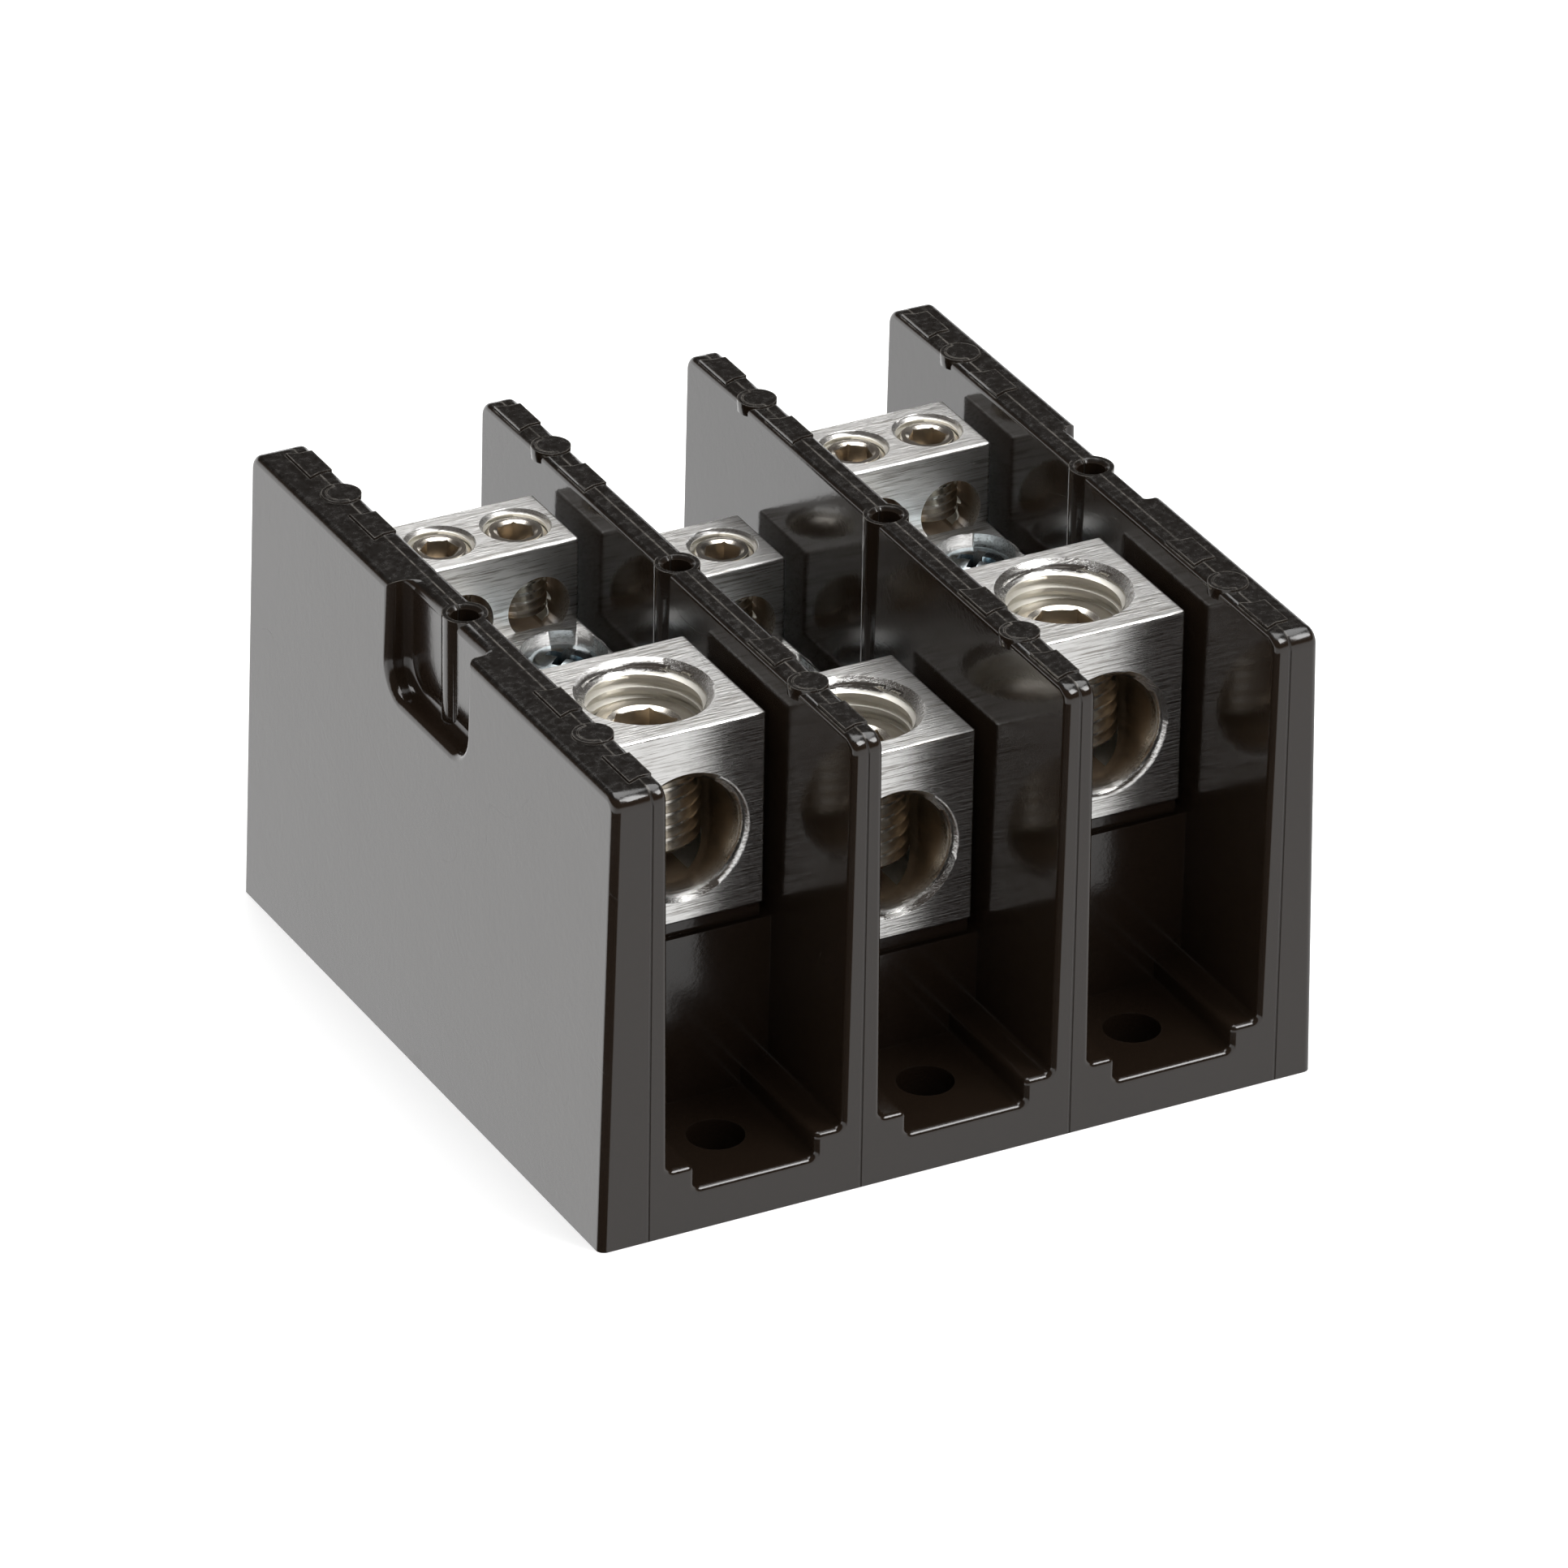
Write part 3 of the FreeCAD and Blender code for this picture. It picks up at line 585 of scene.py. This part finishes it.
lineScrew = {
    "pitch": 1.27 * mm, "crest": 5.14 * mm, "depth": 0.66 * mm, "length": 11.1 * mm, "edge": 0.42 * mm,
    "point": 0.8 * mm, "cupRadius": 3.1 * mm, "cupDepth": 1.3 * mm,
    "socket": 5.56 * mm, "socketDepth": 5.0 * mm, "drill": 1.2 * mm, "lead": 0.25 * mm, "dish": 0.0,
    "turns": (24.0, 51.0, 8.0),
}
loadScrew = {
    "pitch": 0.907 * mm, "crest": 2.875 * mm, "depth": 0.46 * mm, "length": 7.94 * mm, "edge": 0.45 * mm,
    "point": 0.5 * mm, "cupRadius": 1.6 * mm, "cupDepth": 0.8 * mm,
    "socket": 3.18 * mm, "socketDepth": 3.4 * mm, "drill": 0.7 * mm, "lead": 0.14 * mm, "dish": 0.06 * mm,
    "turns": (12.0, 40.0, 3.0, 27.0, 49.0, 18.0),
}


def makeSetScrew(name, size):
    crest, length, depth = size["crest"], size["length"], size["depth"]
    spare = 1 * mm
    rod = newPiece(name, threadRod(size["pitch"], crest, depth, -length - spare, spare), nickel)
    foot = crest - size["point"]
    past = crest + 0.05 * mm
    envelope = turnedSolid([
        (0, -length + size["cupDepth"]), (size["cupRadius"], -length), (foot, -length),
        (past, -length + size["point"]), (past, -size["edge"]), (crest - size["edge"], 0), (0, 0)])
    combine(rod, newPiece("envelope", envelope, nickel), "INTERSECT")
    mouth = size["socket"] / math.sqrt(3)
    leadFloor = -size["dish"] - size["lead"]
    lead = turnedSolid([(0, leadFloor), (mouth - size["lead"], leadFloor),
                        (mouth + size["lead"] * 0.9 + size["dish"], 0.01 * mm), (0, 0.01 * mm)])
    combine(rod, newPiece("lead", lead, nickel))
    socket = hexagonTool(size["socket"], size["socketDepth"], size["drill"])
    combine(rod, newPiece("socket", socket, nickel))
    bottom = size["socketDepth"] + size["drill"]
    noteOwnPlace(rod, mouth + 0.05 * mm, -bottom - 0.1 * mm, 0.4 * mm - size["socketDepth"])
    return rod


linePattern = makeSetScrew("lineScrewPattern", lineScrew)
loadPattern = makeSetScrew("loadScrewPattern", loadScrew)
turns = iter(loadScrew["turns"])
for pole in (1, 2, 3):
    top = seatLevel(pole) + layout["lugHeight"]
    node = f"line_screw_{pole}"
    turn = lineScrew["turns"][pole - 1]
    where = atPlace(poleX(pole), layout["lineAxis"], top - layout["lineSink"], turn)
    finishPiece(placed(f"lineScrew{pole}", linePattern, where, nickel), node, node)
    for side, word in ((-1, "left"), (1, "right")):
        node = f"load_screw_{pole}_{word}"
        across = poleX(pole) + side * layout["loadSide"]
        where = atPlace(across, layout["loadAxis"], top - layout["loadSink"], next(turns))
        piece = placed(f"loadScrew{pole}{word}", loadPattern, where, nickel)
        finishPiece(piece, node, node)
for pattern in (linePattern, loadPattern):
    bpy.data.objects.remove(pattern)
print("set screws made")


# fixing screws: pan head with a cross recess

fixingScrew = {
    "head": 3.5 * mm, "rim": 0.95 * mm, "rimEdge": 0.15 * mm, "crown": 2.15 * mm,
    "shoulder": 0.62, "domeShare": 0.82, "domeSteps": 7,
    "recess": 4.1 * mm, "arm": 0.95 * mm, "recessDepth": 1.5 * mm, "recessTaper": (0.38, 0.7),
    "shank": 1.74 * mm, "overlap": 0.4 * mm, "length": 15.9 * mm, "point": 1.3 * mm,
    "pitch": 1.6 * mm, "depth": 0.34 * mm, "turns": (38.0, 12.0, 31.0, 5.0, 44.0, 20.0),
}


def crossTool(size):
    # two crossed bars that narrow towards the bottom
    bm = bmesh.new()
    high = size["crown"] + 0.3 * mm
    low = size["crown"] - size["recessDepth"]
    lowerLength, lowerWidth = size["recessTaper"]
    for turn in (0, 90):
        made = bmesh.ops.create_cube(bm, size=1.0)["verts"]
        for vert in made:
            upper = vert.co.z > 0
            reach = size["recess"] * (1 if upper else lowerLength)
            breadth = size["arm"] * (1 if upper else lowerWidth)
            vert.co = Vector((vert.co.x * reach, vert.co.y * breadth, high if upper else low))
        spun = Matrix.Rotation(math.radians(turn), 3, "Z")
        bmesh.ops.rotate(bm, verts=made, cent=(0, 0, 0), matrix=spun)
    return bm


def makeFixingScrew():
    size = fixingScrew
    head, rim, crown, shank = size["head"], size["rim"], size["crown"], size["shank"]
    profile = [(0, -size["overlap"]), (shank, -size["overlap"]), (shank, 0),
               (head - size["rimEdge"], 0), (head, size["rimEdge"])]
    flat = head * size["shoulder"]
    for step in range(size["domeSteps"] + 1):
        bend = math.radians(90 * step / size["domeSteps"])
        across = flat + (head - flat) * math.cos(bend)
        profile.append((across, rim + (crown - rim) * size["domeShare"] * math.sin(bend)))
    profile += [(head * 0.35, crown), (0, crown)]
    screw = newPiece("fixingScrewPattern", turnedSolid(profile), zinc)
    combine(screw, newPiece("recess", crossTool(size), zinc), toolCrossesItself=True)

    top = -size["overlap"] / 2
    low = -size["length"]
    rod = threadRod(size["pitch"], shank, size["depth"], low - 1 * mm, top, 32)
    thread = newPiece("shank", rod, zinc)
    past = shank + 0.02 * mm
    envelope = turnedSolid([(0, low), (past, low + size["point"]), (past, top), (0, top)])
    combine(thread, newPiece("envelope", envelope, zinc), "INTERSECT")
    combine(screw, thread, "UNION")
    noteOwnPlace(screw, size["recess"] / 2, 0.1 * mm, crown - 0.5 * mm)
    return screw


fixingPattern = makeFixingScrew()
turns = iter(fixingScrew["turns"])
for pole in (1, 2, 3):
    for across, along, word in layout["fixing"]:
        level = seatLevel(pole) + layout["underHead"]
        where = atPlace(poleX(pole) + across, along, level, next(turns))
        piece = placed(f"fixingScrew{pole}{word}", fixingPattern, where, zinc)
        finishPiece(piece, "housing", f"fixing_screw_{pole}_{word}")
bpy.data.objects.remove(fixingPattern)
print("fixing screws made")


# connectors: the bar's edges are broken and its screw holes tapped

connector = {
    "edge": 0.28 * mm, "edgeSteps": 3, "rim": 0.38 * mm,
    "lineTap": {"hole": 5.2 * mm, "groove": 0.5 * mm, "reach": 9.4 * mm},
    "loadTap": {"hole": 2.93 * mm, "groove": 0.3 * mm, "reach": 9.0 * mm},
}


def tapHole(piece, screw, tap, where, top):
    groove = tap["groove"]
    rod = threadRod(screw["pitch"], tap["hole"] + groove, groove + 0.01 * mm, top - tap["reach"],
                    top - 0.05 * mm)
    bmesh.ops.transform(rod, matrix=where, verts=rod.verts)
    combine(piece, newPiece("tap", rod, connectorMetal))


def sinkRim(piece, hole, where, top):
    # a small countersink round a load screw's hole
    deep = connector["rim"]
    rim = turnedSolid([(0, -deep), (hole - 0.02 * mm, -deep), (hole + deep, 0.02 * mm), (0, 0.02 * mm)])
    bmesh.ops.transform(rim, matrix=where @ Matrix.Translation((0, 0, top)), verts=rim.verts)
    combine(piece, newPiece("rim", rim, connectorMetal))


def makeConnector(pole):
    size = connector
    name = f"connector_{pole}"
    low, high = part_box(name)
    bm = copyOfNode(name)

    def outside(edge):
        # the bar's own long edges, not those of its holes
        beside = all(min(abs(v.co.x - low.x), abs(v.co.x - high.x)) < 0.01 * mm for v in edge.verts)
        return beside and edge.is_convex and edge.calc_length() > 2 * mm

    roundOff(bm, sharpEdges(bm, outside, 60), size["edge"], size["edgeSteps"])
    piece = newPiece(f"connectorBar{pole}", bm, connectorMetal)
    top = seatLevel(pole) + layout["lugHeight"]
    loadPlaces = []
    for side in (-1, 1):
        where = atPlace(poleX(pole) + side * layout["loadSide"], layout["loadAxis"], 0)
        loadPlaces.append(where)
        sinkRim(piece, size["loadTap"]["hole"], where, top)
    tapHole(piece, lineScrew, size["lineTap"], atPlace(poleX(pole), layout["lineAxis"], 0), top)
    for where in loadPlaces:
        tapHole(piece, loadScrew, size["loadTap"], where, top)
    smoothByAngle(piece.data, smoothBelow)
    finishPiece(piece, "housing", name)


for pole in (1, 2, 3):
    makeConnector(pole)
print("connectors made")


# mouldings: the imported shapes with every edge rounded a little, as a mould leaves it

mouldingEdges = {"width": 0.1 * mm, "steps": 2, "sharpAbove": 30}


def makeMouldedPiece(name, pieceName):
    size = mouldingEdges
    bm = copyOfNode(name)
    edges = sharpEdges(bm, lambda edge: True, size["sharpAbove"])
    roundOff(bm, edges, size["width"], size["steps"])
    piece = newPiece(pieceName, bm, moulding, size["sharpAbove"])
    finishPiece(piece, "housing", name)


for pole in (1, 2, 3):
    makeMouldedPiece(f"pole_base_{pole}", f"poleBase{pole}")
makeMouldedPiece("end_plate_left", "endPlateLeft")
makeMouldedPiece("end_plate_right", "endPlateRight")
print("mouldings made")


# floor, light and camera

studio = {
    "floorSize": 4.0, "floorColour": (0.82, 0.82, 0.82), "underShadowColour": (0.02, 0.018, 0.016),
    "floorGlow": 0.35, "footprint": (34.8 * mm, 35.5 * mm), "footprintEdge": 0.8 * mm,
    "worldLight": 0.75, "background": 1.0, "roomColour": (1.0, 0.80, 0.66),
    "overhead": {"size": 0.7, "power": 5.5, "at": (0.1, 0.15, 0.75)},
    "corner": {"size": 0.3, "power": 2.6, "at": (0.33, -0.38, 0.61)},
    "lampsAimAt": Vector((0, 0, 20 * mm)),
}
mirrored = {
    "front": 0.95, "back": 1.75, "backHeading": (-0.47, 0.88, 0), "backBand": (-0.2, 0.7),
    "gap": 0.04, "gapHeading": (-0.848, -0.530, 0), "gapBand": (0.3, 0.55), "gapBelow": (-0.42, -0.32),
    "sky": 0.045, "skyBand": (0.03, 0.28), "tintBand": (0.1, 0.6),
}


def makeFloor():
    bm = bmesh.new()
    bmesh.ops.create_grid(bm, x_segments=1, y_segments=1, size=studio["floorSize"] / 2)
    material = bpy.data.materials.new("paleFloor")
    material.use_nodes = True
    tree = material.node_tree
    tree.nodes.clear()
    out = addNode(tree, "ShaderNodeOutputMaterial")
    paths = addNode(tree, "ShaderNodeLightPath").outputs

    # round the object the floor glows a little and stays out of reflections; under it the floor is painted
    # dark as shadow
    position = parts(tree, addNode(tree, "ShaderNodeTexCoord").outputs["Object"])
    outsides = []
    for value, half in zip(position[:2], studio["footprint"]):
        outsides.append(calc(tree, "SUBTRACT", calc(tree, "ABSOLUTE", value), half))
    outside = band(tree, calc(tree, "MAXIMUM", *outsides), 0.0, studio["footprintEdge"])
    lit = product(tree, paths["Is Camera Ray"], outside, studio["floorGlow"])
    # painted shadow: the floor under the object is dark
    tone = mixColour(tree, outside, studio["underShadowColour"], studio["floorColour"])
    matt = addNode(tree, "ShaderNodeBsdfDiffuse", {"Color": tone}).outputs[0]
    glow = addNode(tree, "ShaderNodeEmission", {"Strength": lit}).outputs[0]
    plain = addNode(tree, "ShaderNodeAddShader", {0: matt, 1: glow}).outputs[0]
    clear = addNode(tree, "ShaderNodeBsdfTransparent").outputs[0]
    unseen = product(tree, paths["Is Glossy Ray"], outside)
    both = addNode(tree, "ShaderNodeMixShader", {0: unseen, 1: plain, 2: clear}).outputs[0]
    tree.links.new(both, out.inputs[0])
    newPiece("floor", bm, material)


def makeWorld():
    world = bpy.data.worlds.new("studio")
    bpy.context.scene.world = world
    world.use_nodes = True
    tree = world.node_tree
    tree.nodes.clear()
    out = addNode(tree, "ShaderNodeOutputWorld")
    paths = addNode(tree, "ShaderNodeLightPath").outputs
    straight = calc(tree, "ADD", paths["Is Camera Ray"], paths["Is Transmission Ray"], clamp=True)
    direct = blendValue(tree, straight, studio["worldLight"], studio["background"])

    # reflections see a pale table, dark towards the left front, under a dark room
    seen = mirrored
    heading = addNode(tree, "ShaderNodeTexCoord").outputs["Generated"]
    rise = parts(tree, heading)[2]
    flat = scaled(tree, heading, (1, 1, 0))
    level = addNode(tree, "ShaderNodeVectorMath", {0: flat}, operation="NORMALIZE").outputs[0]
    towardsBack = dot(tree, level, seen["backHeading"])
    around = band(tree, towardsBack, *seen["backBand"], seen["front"], seen["back"])
    steep = band(tree, rise, *seen["gapBelow"], 1.0, 0.0)
    gap = product(tree, band(tree, dot(tree, level, seen["gapHeading"]), *seen["gapBand"]), steep)
    table = blendValue(tree, gap, around, seen["gap"])
    room = blendValue(tree, band(tree, rise, *seen["skyBand"]), table, seen["sky"])
    strength = blendValue(tree, paths["Is Glossy Ray"], direct, room)
    dark = product(tree, band(tree, room, *seen["tintBand"], 1.0, 0.0), paths["Is Glossy Ray"])
    tint = mixColour(tree, dark, (1.0, 1.0, 1.0), studio["roomColour"])
    glow = addNode(tree, "ShaderNodeBackground", {"Color": tint, "Strength": strength}).outputs[0]
    tree.links.new(glow, out.inputs[0])


def makeLamp(name):
    settings = studio[name]
    lamp = bpy.data.lights.new(name, "AREA")
    lamp.energy = settings["power"]
    lamp.size = settings["size"]
    holder = bpy.data.objects.new(name, lamp)
    holder.location = Vector(settings["at"])
    aim = studio["lampsAimAt"] - holder.location
    holder.rotation_euler = aim.to_track_quat("-Z", "Y").to_euler()
    bpy.context.scene.collection.objects.link(holder)


cameraView = {
    "target": Vector((0.0, 0.0, 23.5 * mm)), "azimuth": -28.138, "elevation": 28.889, "roll": 0.890,
    "distance": 1102.91 * mm, "lens": 279.07, "shiftX": 0.00346, "shiftY": -0.01987,
    "nearest": 0.05, "farthest": 20.0,
}


def makeCamera():
    view = cameraView
    turn, lift, roll = (math.radians(view[key]) for key in ("azimuth", "elevation", "roll"))
    back = Vector((math.sin(turn) * math.cos(lift), -math.cos(turn) * math.cos(lift), math.sin(lift)))
    right = Vector((math.cos(turn), math.sin(turn), 0))
    up = back.cross(right)
    across = math.cos(roll) * right + math.sin(roll) * up
    upright = math.cos(roll) * up - math.sin(roll) * right
    facing = Matrix((across, upright, back)).transposed().to_4x4()
    camera = bpy.data.objects.new("camera", bpy.data.cameras.new("camera"))
    camera.matrix_world = Matrix.Translation(view["target"] + back * view["distance"]) @ facing
    camera.data.lens = view["lens"]
    camera.data.shift_x = view["shiftX"]
    camera.data.shift_y = view["shiftY"]
    camera.data.clip_start = view["nearest"]
    camera.data.clip_end = view["farthest"]
    bpy.context.scene.collection.objects.link(camera)
    bpy.context.scene.camera = camera


makeFloor()
makeWorld()
makeLamp("overhead")
makeLamp("corner")
makeCamera()
bpy.context.scene.view_settings.view_transform = "Standard"
print("studio made")
